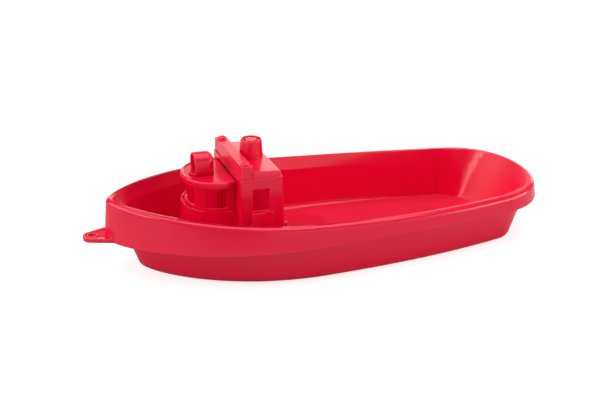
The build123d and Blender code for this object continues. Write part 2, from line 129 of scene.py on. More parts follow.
class Graph:
    """The node tree of one material."""

    def __init__(self, name: str) -> None:
        """Starts an empty material.

        Args:
            name: The material's name.
        """
        self.material = bpy.data.materials.new(name)
        self.material.use_nodes = True
        self.tree = self.material.node_tree
        self.tree.nodes.clear()

    def node(self, kind: str, settings: dict[str, Any], sockets: dict[Any, Any]) -> bpy.types.Node:
        """Adds one node.

        Args:
            kind: The node's type.
            settings: What is set on the node itself, before its sockets.
            sockets: Values, signals or output sockets, by input name or number.

        Returns:
            The new node.
        """
        node = self.tree.nodes.new(kind)
        for name, value in settings.items():
            setattr(node, name, value)
        for name, value in sockets.items():
            if isinstance(value, Signal):
                value = value.socket
            if isinstance(value, bpy.types.NodeSocket):
                self.tree.links.new(value, node.inputs[name])
            else:
                node.inputs[name].default_value = value
        return node

    def math(self, operation: str, *values: "Signal | float", use_clamp: bool = False) -> Signal:
        """Adds a Math node.

        Args:
            operation: The node's operation.
            *values: Its inputs, in order.
            use_clamp: Whether the result is held between nought and one.

        Returns:
            The node's result.
        """
        settings = {"operation": operation, "use_clamp": use_clamp}
        node = self.node("ShaderNodeMath", settings, dict(enumerate(values)))
        return Signal(self, node.outputs[0])

    def noise(self, vector: bpy.types.NodeSocket, scale: float, detail: float) -> Signal:
        """Adds a noise.

        Args:
            vector: Where it is read.
            scale: How many features go in a metre.
            detail: How many finer layers it has.

        Returns:
            The noise, from nought to one.
        """
        sockets = {"Vector": vector, "Scale": scale, "Detail": detail}
        node = self.node("ShaderNodeTexNoise", {"noise_dimensions": "3D"}, sockets)
        return Signal(self, node.outputs[0])

    def blend(self, factor: Signal, first: Any, second: Any) -> bpy.types.NodeSocket:
        """Mixes two colours.

        Args:
            factor: The second colour's share.
            first: A colour or a colour socket.
            second: A colour or a colour socket.

        Returns:
            The mixed colour's socket.
        """
        node = self.node("ShaderNodeMix", {"data_type": "RGBA"}, {0: factor, 6: first, 7: second})
        return node.outputs[2]

    def stretched(self, scale: Spot) -> bpy.types.NodeSocket:
        """Object coordinates, stretched.

        Args:
            scale: The scale along each axis.

        Returns:
            The coordinates' socket.
        """
        place = self.node("ShaderNodeTexCoord", {}, {})
        sockets = {"Vector": place.outputs["Object"], "Scale": scale}
        return self.node("ShaderNodeMapping", {}, sockets).outputs[0]


# Finishes


@dataclass(frozen=True)
class MouldedPlastic:
    """Glossy moulded polypropylene, in one red all through. Its convex edges are lightened as a painted
    highlight together with light wear, and it can carry a painted glow.
    """

    name: str
    colour: Colour = (0.80, 0.001, 0.043, 1.0)
    deep_colour: Colour = (0.75, 0.001, 0.038, 1.0)
    edge_wear_and_highlight_colour: Colour = (0.84, 0.04, 0.07, 1.0)
    roughness: float = 0.15
    flow_scale: float = 16.0
    flow_stretch: float = 0.35
    flow_start: float = 0.35
    flow_gain: float = 1.6
    flow_height: float = 6.0
    flow_dulling: float = 0.05
    handling_scale: float = 70.0
    handling_dulling: float = 0.08
    # Convex edges turn lighter: a painted edge highlight together with light wear, which also dulls them.
    edge_start: float = 0.52
    edge_gain: float = 7.0
    edge_even: float = 0.4
    wear_and_highlight: float = 0.35
    wear_dulling: float = 0.08
    grain_scale: float = 1400.0
    grain_height: float = 0.000005
    grain_strength: float = 0.5
    ior: float = 1.49
    scatter: float = 0.5
    scatter_scale: float = 0.005
    scatter_radius: Spot = (1.0, 0.08, 0.2)
    # Painted glow: emission on a surface that is no lamp, used to brighten shaded insides seen through the
    # windows.
    painted_glow_colour: Colour = (1.0, 0.0, 0.06, 1.0)
    glow: float = 0.0

    def material(self) -> bpy.types.Material:
        """Builds the plastic.

        Returns:
            The material.
        """
        graph = Graph(self.name)
        even = graph.stretched((1.0, 1.0, 1.0))
        flow = graph.noise(graph.stretched((1.0, 1.0, self.flow_stretch)), self.flow_scale, detail=2.0)
        grain = graph.noise(even, self.grain_scale, detail=2.0)
        handling = graph.noise(even, self.handling_scale, detail=4.0)
        bend = Signal(graph, graph.node("ShaderNodeNewGeometry", {}, {}).outputs["Pointiness"])
        # Pointiness finds convex edges, which get a painted highlight colour and the dulling of light wear.
        edge_wear_and_highlight = ((bend - self.edge_start) * self.edge_gain).clamped()
        edge_wear_and_highlight = edge_wear_and_highlight * (self.edge_even + (1 - self.edge_even) * handling)
        depth = ((flow - self.flow_start) * self.flow_gain).clamped()
        colour = graph.blend(depth, self.colour, self.deep_colour)
        colour = graph.blend(edge_wear_and_highlight * self.wear_and_highlight, colour, self.edge_wear_and_highlight_colour)
        roughness = self.roughness + (handling - NOISE_MEAN) * self.handling_dulling
        roughness = roughness + (flow - NOISE_MEAN) * self.flow_dulling + edge_wear_and_highlight * self.wear_dulling
        surface = {
            "Height": grain + flow * self.flow_height,
            "Strength": self.grain_strength,
            "Distance": self.grain_height,
        }
        bump = graph.node("ShaderNodeBump", {}, surface)
        sockets = {
            "Base Color": colour,
            "Roughness": roughness,
            "Normal": bump.outputs[0],
            "IOR": self.ior,
            "Subsurface Weight": self.scatter,
            "Subsurface Scale": self.scatter_scale,
            "Subsurface Radius": self.scatter_radius,
            # Emission here is a painted glow, not a lamp.
            "Emission Color": self.painted_glow_colour,
            "Emission Strength": self.glow,
        }
        shader = graph.node("ShaderNodeBsdfPrincipled", {}, sockets)
        graph.node("ShaderNodeOutputMaterial", {}, {"Surface": shader.outputs[0]})
        return graph.material


@dataclass(frozen=True)
class StudioPaper:
    """Matt white paper under the boat, lit from below as on a light table."""

    name: str = "studio_paper"
    colour: Colour = (0.54, 0.55, 0.59, 1.0)
    shade: Colour = (0.52, 0.53, 0.57, 1.0)
    tone_scale: float = 3.0
    roughness: float = 0.85
    glow: float = 0.70

    def material(self) -> bpy.types.Material:
        """Builds the paper.

        Returns:
            The material.
        """
        graph = Graph(self.name)
        tone = graph.noise(graph.stretched((1.0, 1.0, 1.0)), self.tone_scale, detail=3.0)
        sockets = {"Base Color": graph.blend(tone, self.colour, self.shade), "Roughness": self.roughness}
        paper = graph.node("ShaderNodeBsdfPrincipled", {}, sockets)
        table = graph.node("ShaderNodeEmission", {}, {"Strength": self.glow})
        seen = graph.node("ShaderNodeLightPath", {}, {}).outputs["Is Camera Ray"]
        added = graph.node("ShaderNodeAddShader", {}, {0: paper.outputs[0], 1: table.outputs[0]})
        shader = graph.node("ShaderNodeMixShader", {}, {0: seen, 1: paper.outputs[0], 2: added.outputs[0]})
        graph.node("ShaderNodeOutputMaterial", {}, {"Surface": shader.outputs[0]})
        return graph.material


# Mesh kit


class Form:
    """A mesh in the making, drawn in millimetres."""

    def __init__(self, name: str) -> None:
        """Starts an empty form.

        Args:
            name: The piece's name.
        """
        self.name = name
        self.mesh = bmesh.new()

    def ring(self, points: Sequence[Vector]) -> list[bmesh.types.BMVert]:
        """Adds points without faces."""
        return [self.mesh.verts.new(point) for point in points]

    def skin(self, rings: Sequence[list[bmesh.types.BMVert]], closed: bool = True) -> None:
        """Joins rings of equal length, one to the next.

        Args:
            rings: The rings, in order.
            closed: Whether each ring's last point joins its first.
        """
        for low, high in zip(rings, rings[1:]):
            count = len(low) if closed else len(low) - 1
            for i in range(count):
                j = (i + 1) % len(low)
                corners = [low[i], low[j], high[j], high[i]]
                distinct = list(dict.fromkeys(corners))
                if len(distinct) > 2 and not self.mesh.faces.get(distinct):
                    self.mesh.faces.new(distinct)

    def loft(self, rings: Sequence[Ring], capped: bool = True) -> None:
        """Skins closed rings and closes both ends.

        Args:
            rings: The rings' points.
            capped: Whether the first and last ring get a flat cap, or join each other.
        """
        made = [self.ring(points) for points in rings]
        self.skin(made if capped else made + [made[0]])
        if capped:
            self.mesh.faces.new(made[0])
            self.mesh.faces.new(made[-1])

    def wall(
        self,
        outer: Sequence[Ring | None],
        inner: Sequence[Ring | None],
        is_open: Callable[[int, int], bool],
        closed: bool,
    ) -> None:
        """Builds a wall between two sheets, cell by cell, with jambs round each opening.

        Args:
            outer: The outer sheet's rows, from the foot up. None repeats the row below.
            inner: The inner sheet's rows, whose faces can take a lining.
            is_open: Says whether the cell at a row and a column is an opening.
            closed: Whether the wall's columns run in a closed loop.
        """
        sheets = []
        for rows in (outer, inner):
            made: list[list[bmesh.types.BMVert]] = []
            for row in rows:
                made.append(made[-1] if row is None else self.ring(row))
            sheets.append(made)
        levels = len(outer) - 1
        columns = len(outer[0]) - (0 if closed else 1)
        width = len(outer[0])

        def solid(row: int, column: int) -> bool:
            """Whether a cell is there and isn't an opening."""
            if closed:
                column %= columns
            inside = 0 <= row < levels and 0 <= column < columns
            return inside and not is_open(row, column)

        def face(*corners: bmesh.types.BMVert) -> bmesh.types.BMFace | None:
            """Adds a face unless its corners fall together."""
            distinct = list(dict.fromkeys(corners))
            if len(distinct) > 2 and not self.mesh.faces.get(distinct):
                return self.mesh.faces.new(distinct)
            return None

        for row in range(levels):
            for column in range(columns):
                if not solid(row, column):
                    continue
                after = (column + 1) % width
                for number, sheet in enumerate(sheets):
                    made = face(
                        sheet[row][column], sheet[row][after],
                        sheet[row + 1][after], sheet[row + 1][column],
                    )
                    if made:
                        made.material_index = number
                for other, at in ((row - 1, row), (row + 1, row + 1)):
                    if not solid(other, column):
                        face(
                            sheets[0][at][column], sheets[0][at][after],
                            sheets[1][at][after], sheets[1][at][column],
                        )
                for other, at in ((column - 1, column), (column + 1, after)):
                    if not solid(row, other):
                        face(
                            sheets[0][row][at], sheets[0][row + 1][at],
                            sheets[1][row + 1][at], sheets[1][row][at],
                        )

    def lathe(self, profile: Plan, centre: Point, turns: int = 72) -> None:
        """Turns a profile about an upright axis.

        Args:
            profile: Radius and height of each point. A radius of nought closes the end.
            centre: X and Y of the axis.
            turns: How many points go round.
        """
        rings = []
        for radius, height in profile:
            if radius == 0:
                tip = self.mesh.verts.new((*centre, height))
                rings.append([tip] * turns)
                continue
            angles = [math.tau * i / turns for i in range(turns)]
            circle = [
                Vector((centre[0] + radius * math.cos(a), centre[1] + radius * math.sin(a), height))
                for a in angles
            ]
            rings.append(self.ring(circle))
        self.skin(rings)

    def block(self, low: Spot, high: Spot) -> None:
        """Adds a block between two corners, to be given rounded edges.

        Args:
            low: Its lowest corner.
            high: Its highest corner.
        """
        corners = [(low[0], low[1]), (high[0], low[1]), (high[0], high[1]), (low[0], high[1])]
        self.loft([[Vector((x, y, z)) for x, y in corners] for z in (low[2], high[2])])

    def piece(
        self,
        finish: bpy.types.Material,
        nodes: Sequence[str],
        edge: Edge | None = Edge.SOFT,
        lining: bpy.types.Material | None = None,
    ) -> bpy.types.Object:
        """Turns the form into a piece of the boat.

        Args:
            finish: Its material.
            nodes: The CAD nodes that it stands for.
            edge: How round its sharp edges become, or None if they are drawn round.
            lining: The material of a wall's inner sheet, if it differs.

        Returns:
            The new object.
        """
        bmesh.ops.recalc_face_normals(self.mesh, faces=self.mesh.faces)
        bmesh.ops.scale(self.mesh, vec=(MM, MM, MM), verts=self.mesh.verts)
        data = bpy.data.meshes.new(self.name)
        self.mesh.to_mesh(data)
        self.mesh.free()
        data.shade_smooth()
        data.materials.append(finish)
        if lining:
            data.materials.append(lining)
        else:
            data.polygons.foreach_set("material_index", [0] * len(data.polygons))
        made = bpy.data.objects.new(self.name, data)
        bpy.context.scene.collection.objects.link(made)
        if edge:
            bevel = made.modifiers.new("round_edges", "BEVEL")
            bevel.width = edge.value * MM
            bevel.segments = 3
            bevel.limit_method = "ANGLE"
            bevel.angle_limit = math.radians(SHARP)
            bevel.use_clamp_overlap = False
        smooth = made.modifiers.new("even_shading", "WEIGHTED_NORMAL")
        smooth.keep_sharp = True
        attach(made, BODY)
        if nodes:
            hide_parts(*nodes)
        log.info("%s: %d faces", self.name, len(data.polygons))
        return made


def arc(start: float, end: float, steps: int) -> list[float]:
    """Evenly spaced angles.

    Args:
        start: The first angle, in degrees.
        end: The last angle, in degrees.
        steps: How many steps lie between them.

    Returns:
        The angles in radians.
    """
    return [math.radians(start + (end - start) * i / steps) for i in range(steps + 1)]


def full_turn() -> list[float]:
    """Angles every five degrees, once round."""
    return arc(0, 355, 71)


def quarter(steps: int) -> list[float]:
    """Degrees from abeam to right ahead."""
    return [90 - 90 * i / steps for i in range(steps + 1)]


def bezier(points: Sequence[Point], share: float) -> Point:
    """A point on a cubic curve.

    Args:
        points: The curve's four control points.
        share: How far along it, from nought to one.

    Returns:
        The point.
    """
    rest = 1 - share
    weights = (rest**3, 3 * rest**2 * share, 3 * rest * share**2, share**3)
    return (
        sum(w * p[0] for w, p in zip(weights, points)),
        sum(w * p[1] for w, p in zip(weights, points)),
    )


def lifted(plan: Plan, height: float) -> Ring:
    """A plan's points at one height."""
    return [Vector((x, y, height)) for x, y in plan]


def node_box(node: str) -> tuple[Vector, Vector]:
    """A CAD node's box in millimetres."""
    low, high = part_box(node)
    return low / MM, high / MM


# Hull


@dataclass(frozen=True)
class Sheer:
    """A height that runs in one sweep from stern to bow."""

    stern: float
    middle: float
    bow: float

    def at(self, x: float, half: float) -> float:
        """The height at a place along the hull.

        Args:
            x: The place, from amidships.
            half: Half the hull's length.

        Returns:
            The height.
        """
        share = x / half
        slope = (self.bow - self.stern) / 2
        bend = (self.bow + self.stern) / 2 - self.middle
        return self.middle + slope * share + bend * share**2


@dataclass
class Hull:
    """Open tub with a rolled gunwale, a turned-down skirt and a tow eye on the stem."""

    finish: bpy.types.Material
    satin: bpy.types.Material
    length: float = 409.0  # of the rim, without the tow eye
    beam: float = 168.0
    stern_width: float = 135.0
    stern_curve: float = 51.5
    widest_ahead: float = 47.5
    stern_side_slope: float = 0.2
    bow_fullness: float = 94.0
    bow_round: float = 19.6
    transom_fullness: float = 42.0
    corner_fullness: float = 25.0
    rim: Sheer = Sheer(51.0, 53.3, 67.6)
    hem: Sheer = Sheer(34.7, 36.7, 31.7)
    bottom: Insets = (26.8, 27.0, 11.8)  # from the rim's plan at the bow, the stern and the sides
    bottom_shift: float = -14.6  # of the widest place, at the bottom
    flare: float = 2.9
    gunwale: float = 5.0
    wall: float = 2.0
    floor: float = 2.3
    bilge: float = 5.0
    inner_bilge: float = 5.0
    roll: float = 3.6
    inner_roll: float = 1.4
    band: float = 12.0
    band_flare: float = 1.3
    facet_start: tuple[Point, Point] = ((-145.5, 55.6), (-147.5, 62.6))  # at the floor and the rim
    facet_end: tuple[Point, Point] = ((-161.1, 43.5), (-173.5, 52.0))
    corner_share: float = 0.6
    side_handle: float = 0.35
    least_stem: float = 2.0
    transom_handle: float = 0.5
    facet_handle: Point = (0.42, 0.95)
    settling: int = 4  # rounds after which a point's place and height agree
    skirt_root: float = 0.6
    well_inset: float = 3.0
    well_aft: float = 6.0
    well_centre: float = 8.0
    level_share: float = 0.95  # how upright a floor face's normal is, at least
    forward_share: float = 0.8  # how far forward a transom face's bearing is, at least

    def build(self) -> None:
        """Builds the shell and the tow eye."""
        self.build_shell()
        TowEye(self.finish, stem=self.length / 2).build()

    def stations(self) -> list[tuple[Stretch, float]]:
        """Places round the port half, as a stretch and a share along it.

        Places close to the end of a stretch keep the crease there sharp.

        Returns:
            The places, from the transom to the stem.
        """
        shares = {
            Stretch.TRANSOM: [i / 20 for i in range(20)] + [0.98],
            Stretch.CORNER: [0.0, 0.06, 0.2, 0.35, 0.5, 0.65, 0.8, 0.94],
            Stretch.SIDE: [0.0, 0.01] + [i / 24 for i in range(1, 24)],
            Stretch.BOW: [i / 48 for i in range(49)],
        }
        return [(stretch, share) for stretch in Stretch for share in shares[stretch]]

    def curves(self, insets: Insets) -> list[Plan]:
        """The plan's three curves on the port side.

        Args:
            insets: How far the plan is drawn in at the bow, the stern and the sides.

        Returns:
            Control points of the stern, side and bow curves.
        """
        in_bow, in_stern, in_side = insets
        tip, end = self.length / 2 - in_bow, -self.length / 2 + in_stern
        half_beam, half_stern = self.beam / 2 - in_side, self.stern_width / 2 - in_side
        widest = self.widest_ahead + self.bottom_shift * in_side / self.bottom[2]
        start = (-self.length / 2 + self.stern_curve, half_stern)
        along = self.side_handle * (widest - start[0])
        lean = math.hypot(1, self.stern_side_slope)
        corner = self.corner_fullness * (start[0] - end) / self.stern_curve / lean
        run = along / lean
        slope = self.stern_side_slope
        stern = [
            (end, 0.0),
            (end, self.transom_fullness - in_side / 2),
            (start[0] - corner, half_stern - corner * slope),
            start,
        ]
        side = [
            start,
            (start[0] + run, half_stern + run * slope),
            (widest - along, half_beam),
            (widest, half_beam),
        ]
        stem = max(self.least_stem, self.bow_round - in_side / 2)
        bow = [(widest, half_beam), (widest + self.bow_fullness, half_beam), (tip, stem), (tip, 0.0)]
        return [stern, side, bow]

    def outer_point(self, place: tuple[Stretch, float], insets: Insets) -> Point:
        """A point of the smooth outside plan.

        Args:
            place: The stretch and the share along it.
            insets: How far the plan is drawn in.

        Returns:
            X and Y on the port side.
        """
        stern, side, bow = self.curves(insets)
        stretch, share = place
        if stretch is Stretch.TRANSOM:
            return bezier(stern, share * self.corner_share)
        if stretch is Stretch.CORNER:
            return bezier(stern, self.corner_share + share * (1 - self.corner_share))
        return bezier(side if stretch is Stretch.SIDE else bow, share)

    def inner_point(self, place: tuple[Stretch, float], insets: Insets, rise: float) -> Point:
        """A point of the inside plan, which has a flat facet at each stern corner.

        Args:
            place: The stretch and the share along it.
            insets: How far the plan is drawn in.
            rise: How high the plan lies, from nought at the floor to one at the rim.

        Returns:
            X and Y on the port side.
        """
        stern, side, bow = self.curves(insets)
        first = self.between(*self.facet_start, rise)
        last = self.between(*self.facet_end, rise)
        stretch, share = place
        if stretch is Stretch.TRANSOM:
            end = stern[0][0]
            reach = self.facet_handle[0] * (last[0] - end)
            handle = (last[0] - reach, last[1] - reach * self.facet_handle[1])
            return bezier([(end, 0.0), (end, last[1] * self.transom_handle), handle, last], share)
        if stretch is Stretch.CORNER:
            return self.between(last, first, share)
        if stretch is Stretch.SIDE:
            run = side[1][0] - side[0][0]
            handle = (first[0] + run, first[1] + run * self.stern_side_slope)
            return bezier([first, handle, side[2], side[3]], share)
        return bezier(bow, share)

    @staticmethod
    def between(first: Point, last: Point, share: float) -> Point:
        """A point on a straight line."""
        return tuple(a + (b - a) * share for a, b in zip(first, last))

    def ring(
        self,
        insets: Callable[[float], Insets],
        height: Height,
        inside: bool = False,
    ) -> Ring:
        """A closed ring round the hull.

        Args:
            insets: How far the plan is drawn in, by height.
            height: The ring's height, by place along the hull.
            inside: Whether it lies on the inside, with its facets.

        Returns:
            The ring's points, from the transom by port to the stem and back.
        """
        port = []
        for place in self.stations():
            x, y = 0.0, 0.0
            for _ in range(self.settling):
                z = height(x)
                if inside:
                    rise = (z - self.floor) / (self.rim.at(x, self.length / 2) - self.floor)
                    x, y = self.inner_point(place, insets(z), min(1.0, max(0.0, rise)))
                else:
                    x, y = self.outer_point(place, insets(z))
            port.append(Vector((x, y, height(x))))
        starboard = [Vector((p.x, -p.y, p.z)) for p in reversed(port[1:-1])]
        return port + starboard

    def tub_insets(self, extra: float) -> Callable[[float], Insets]:
        """How far the tub's plan is drawn in, by height.

        Args:
            extra: How much further it is drawn in all round.

        Returns:
            A function of height.
        """
        gap = self.gunwale - self.wall
        rims = (self.rim.bow, self.rim.stern, self.rim.middle)
        slopes = [(gap - inset) / rim for inset, rim in zip(self.bottom, rims)]
        return lambda z: tuple(i + s * z + extra for i, s in zip(self.bottom, slopes))

    def skirt_insets(self, extra: float) -> Callable[[float], Insets]:
        """How far the skirt's plan is drawn in, by height.

        Args:
            extra: How much further it is drawn in all round.

        Returns:
            A function of height.
        """
        rims = (self.rim.bow, self.rim.stern, self.rim.middle)
        hems = (self.hem.bow, self.hem.stern, self.hem.middle)
        slopes = [self.flare / (rim - hem) for rim, hem in zip(rims, hems)]
        return lambda z: tuple(s * (z - r) + extra for s, r in zip(slopes, rims))

    def at_rim(self, drop: float) -> Height:
        """Height a stated drop below the rim."""
        return lambda x: self.rim.at(x, self.length / 2) - drop

    def at_hem(self, rise: float) -> Height:
        """Height a stated rise above the skirt's hem."""
        return lambda x: self.hem.at(x, self.length / 2) + rise

    @staticmethod
    def level(height: float) -> Height:
        """The same height all along."""
        return lambda x: height

    @staticmethod
    def part_way(low: Height, high: Height, share: float) -> Height:
        """Height a stated share of the way from one to another."""
        return lambda x: low(x) + (high(x) - low(x)) * share

    def outside(self) -> list[Ring]:
        """The rings of the outside.

        Returns:
            The rings, from the bottom's edge over the skirt to the rim.
        """
        rings = []
        for angle in arc(0, 90, 5):
            drawn = self.tub_insets(self.bilge * (1 - math.sin(angle)))
            rings.append(self.ring(drawn, self.level(self.bilge * (1 - math.cos(angle)))))
        low, high = self.level(self.bilge), self.at_rim(self.wall)
        for share in (0.35, 0.7, 1.0):
            rings.append(self.ring(self.tub_insets(0.0), self.part_way(low, high, share)))
        rings.append(self.ring(self.skirt_insets(self.wall), self.at_rim(self.wall + self.skirt_root)))
        middle = self.wall / 2
        for angle in arc(0, 180, 4):
            drawn = self.skirt_insets(middle + middle * math.cos(angle))
            rings.append(self.ring(drawn, self.at_hem(middle - middle * math.sin(angle))))
        low, high = self.at_hem(middle), self.at_rim(self.roll)
        for share in (0.33, 0.66):
            rings.append(self.ring(self.skirt_insets(0.0), self.part_way(low, high, share)))
        for angle in arc(0, 90, 7):
            drawn = self.skirt_insets(self.roll * (1 - math.cos(angle)))
            rings.append(self.ring(drawn, self.at_rim(self.roll * (1 - math.sin(angle)))))
        return rings

    def inside(self) -> list[Ring]:
        """The rings of the inside, whose top band flares a little.

        Returns:
            The rings, from the rim down to the floor's edge.
        """
        rings = []
        for angle in arc(0, 90, 4):
            drawn = self.tub_insets(self.wall - self.inner_roll * (1 - math.sin(angle)))
            height = self.at_rim(self.inner_roll * (1 - math.cos(angle)))
            rings.append(self.ring(drawn, height, inside=True))
        for share in (0.5, 0.96, 1.0, 1.04):  # closely spaced at the band's edge, to keep it sharp
            drawn = self.tub_insets(self.wall + self.band_flare * min(1.0, share))
            rings.append(self.ring(drawn, self.at_rim(self.band * share), inside=True))
        bilge_top = self.floor + self.inner_bilge
        low, high = self.level(bilge_top), self.at_rim(self.band)
        for share in (0.25, 0.5, 0.75):
            drawn = self.tub_insets(self.wall + self.band_flare * (1 - share))
            rings.append(self.ring(drawn, self.part_way(high, low, share), inside=True))
        for angle in arc(0, 90, 5):
            drawn = self.tub_insets(self.wall + self.inner_bilge * (1 - math.cos(angle)))
            rise = bilge_top - self.inner_bilge * math.sin(angle)
            rings.append(self.ring(drawn, self.level(rise), inside=True))
        return rings

    def build_shell(self) -> None:
        """Builds the shell from rings that run round it, from the well outwards and back."""
        form = Form("hull_shell")
        rings = [self.well(0.0)] + self.outside() + self.inside() + [self.well(self.floor)]
        form.loft(rings, capped=False)
        shell = form.piece(self.finish, ["hull"], edge=None)
        shell.data.materials.append(self.satin)
        for face in shell.data.polygons:
            face.material_index = int(self.is_satin(face))

    def is_satin(self, face: bpy.types.MeshPolygon) -> bool:
        """Whether a face belongs to the floor or the transom's inside, which are less glossy.

        Args:
            face: A face of the shell.

        Returns:
            True if it does.
        """
        at_floor = abs(face.center.z / MM - self.floor) < self.wall / 2
        if at_floor and face.normal.z > self.level_share:
            return True
        bearing = face.normal.xy
        faces_bow = bearing.x > self.forward_share * bearing.length
        return faces_bow and face.center.x < 0 and face.normal.z > 0

    def well(self, height: float) -> Ring:
        """The edge of the cabin's well through the floor.

        Args:
            height: The ring's height.

        Returns:
            One point for each place round the hull.
        """
        low, high = node_box("deckhouse_walls")
        nose = node_box("window_frame")[1]
        aft, front, half = low.x + self.well_aft, high.x - self.well_inset, high.y - self.well_inset
        radius = nose.y - self.wall
        round_x = nose.x - nose.y
        bow = [(round_x + radius * math.cos(a), radius * math.sin(a)) for a in arc(0, 90, 18)]
        outline = bow + [(front, radius), (front, half), (aft, half), (aft, 0.0)]
        centre = (front - self.well_centre, 0.0)
        places = self.ring(self.tub_insets(self.bilge), self.level(0.0))
        count = len(self.stations())
        port = [self.cast(centre, (p.x, p.y), outline) for p in places[:count]]
        corners = outline[-4:-1]
        for corner in corners:
            turn = math.atan2(corner[1], corner[0] - centre[0])
            gaps = [abs(math.atan2(p.y, p.x - centre[0]) - turn) for p in places[:count]]
            port[gaps.index(min(gaps))] = corner
        port = lifted(port, height)
        return port + [Vector((p.x, -p.y, p.z)) for p in reversed(port[1:-1])]

    @staticmethod
    def cast(centre: Point, goal: Point, outline: Plan) -> Point:
        """Where a line from the centre towards a goal meets an outline.

        Args:
            centre: Where the line starts.
            goal: A point that it runs through.
            outline: The outline's points on the port side, from the bow aft.

        Returns:
            The meeting point.
        """
        ray = (goal[0] - centre[0], goal[1] - centre[1])
        for first, last in zip(outline, outline[1:]):
            edge = (last[0] - first[0], last[1] - first[1])
            span = (first[0] - centre[0], first[1] - centre[1])
            across = ray[0] * edge[1] - ray[1] * edge[0]
            if abs(across) < TINY:
                continue
            reach = (span[0] * edge[1] - span[1] * edge[0]) / across
            share = (span[0] * ray[1] - span[1] * ray[0]) / across
            if reach > 0 and -TINY <= share <= 1 + TINY:
                return centre[0] + ray[0] * reach, abs(centre[1] + ray[1] * reach)
        return outline[0] if ray[0] > 0 else outline[-1]


@dataclass
class TowEye:
    """Eyelet on the stem, with a rim round a thinner web."""

    finish: bpy.types.Material
    stem: float
    reach: float = 21.2
    radius: float = 7.7
    hole: float = 3.3
    root_half: float = 15.0
    bottom: float = 32.0
    thickness: float = 4.0
    rim: float = 1.7
    recess: float = 0.8
    edge: float = 0.7
    root_depth: float = 5.0
    slope: float = 0.3
    softening: float = 0.4

    def __post_init__(self) -> None:
        """Finds the hole's centre."""
        self.tip = self.stem + self.reach - self.radius

    def outline(self, inset: float, height: float) -> Ring:
        """The eye's plan drawn in, as rays from the hole's centre.

        Args:
            inset: How far it is drawn in.
            height: The ring's height.

        Returns:
            The ring's points.
        """
        radius, half = self.radius - inset, self.root_half - inset
        back = self.tip - self.stem + self.root_depth
        distance = math.hypot(back, half)
        touch = math.atan2(half, -back) - math.acos(radius / distance)
        points = []
        for angle in full_turn():
            turn = angle if angle <= math.pi else math.tau - angle
            ray = (math.cos(turn), math.sin(turn))
            if turn <= touch:
                reach = radius
            else:
                normal = (math.cos(touch), math.sin(touch))
                along = ray[0] * normal[0] + ray[1] * normal[1]
                side = radius / along if along > TINY else math.inf
                end = -back / ray[0] if ray[0] < -TINY else math.inf
                reach = min(side, end)
            sign = 1 if angle <= math.pi else -1
            points.append(Vector((self.tip + reach * ray[0], sign * reach * ray[1], height)))
        return points

    def circle(self, radius: float, height: float) -> Ring:
        """A circle round the hole's centre, on the same rays."""
        turns = [(math.cos(angle), math.sin(angle)) for angle in full_turn()]
        return [Vector((self.tip + radius * x, radius * y, height)) for x, y in turns]

    def build(self) -> None:
        """Builds the eye as one closed skin from the hole outwards and back."""
        top = self.bottom + self.thickness
        low = top - self.recess
        soft = self.edge
        rim, lip = self.hole + self.rim, self.softening
        step = self.slope
        rings = [self.circle(self.hole, self.bottom + soft), self.circle(self.hole, top - soft / 2)]
        rings += [self.circle(self.hole + soft / 2, top), self.circle(rim - lip, top)]
        rings += [self.circle(rim, top - step), self.circle(rim + step, low)]
        rings += [self.outline(self.rim + step, low), self.outline(self.rim, top - step)]
        rings += [self.outline(self.rim - lip, top)]
        for angle in arc(90, -90, 8):
            height = top - soft if angle > 0 else self.bottom + soft
            rings.append(self.outline(soft - soft * math.cos(angle), height + soft * math.sin(angle)))
        rings.append(self.circle(self.hole + soft, self.bottom))
        form = Form("tow_eye")
        form.loft(rings, capped=False)
        form.piece(self.finish, [], edge=None)


# Cabin


